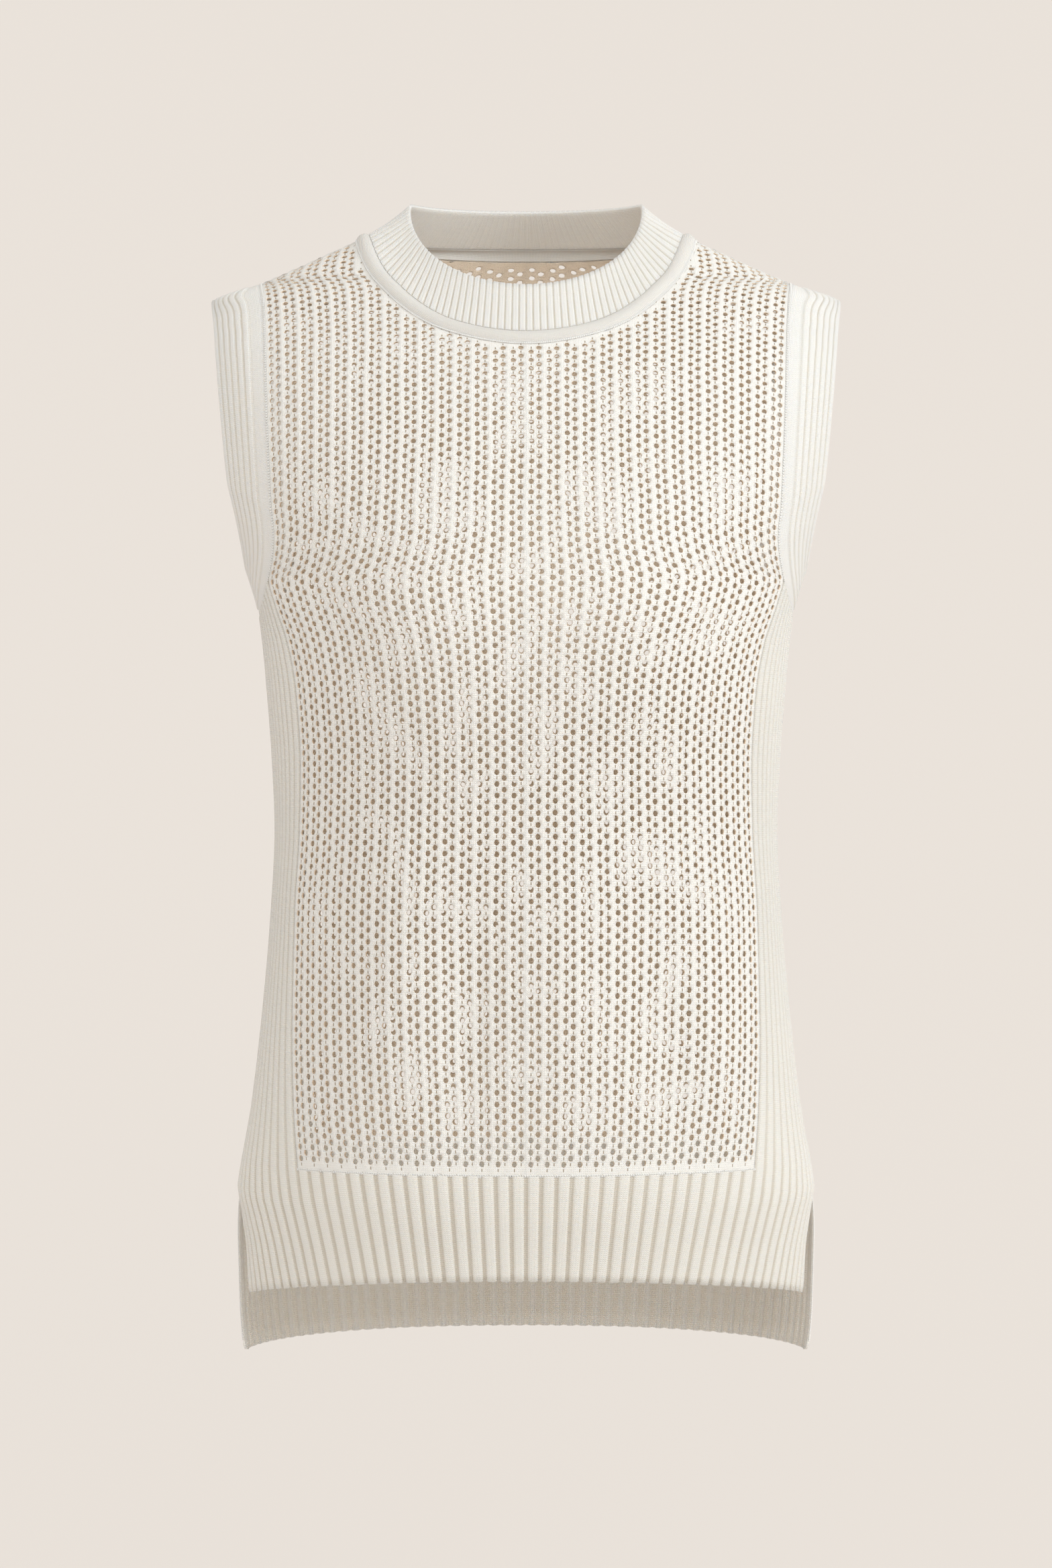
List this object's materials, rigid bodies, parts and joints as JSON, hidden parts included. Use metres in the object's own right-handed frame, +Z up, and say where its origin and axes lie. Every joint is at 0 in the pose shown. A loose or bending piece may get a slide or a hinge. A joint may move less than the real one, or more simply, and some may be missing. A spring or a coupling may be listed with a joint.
{
  "type": "sleeveless openwork knit top",
  "caption": "Sleeveless cream knit top with an eyelet body, ribbed funnel neck, ribbed armholes and a split ribbed hem, as worn.",
  "frame": {"origin": "mid-depth on the centre line, at the height of the side neck points, where the wearer's shoulders carry it", "axes": "+Z up along the body, +Y towards the back of the garment, +X towards the wearer's left"},
  "size_m": [0.3988, 0.2423, 0.7379],
  "materials": {
    "openwork_knit": "matte",
    "rib_knit": "matte",
    "plain_knit": "matte"
  },
  "bodies": {
    "root": {"front_openwork": "openwork_knit", "back_openwork": "openwork_knit", "hem_rib_front": "rib_knit", "hem_rib_back": "rib_knit", "side_rib_front_left": "rib_knit", "side_rib_front_right": "rib_knit", "side_rib_back_left": "rib_knit", "side_rib_back_right": "rib_knit", "arm_rib_left": "rib_knit", "arm_rib_right": "rib_knit", "neck_welt": "plain_knit", "neck_rib": "rib_knit"}
  },
  "joints": []
}
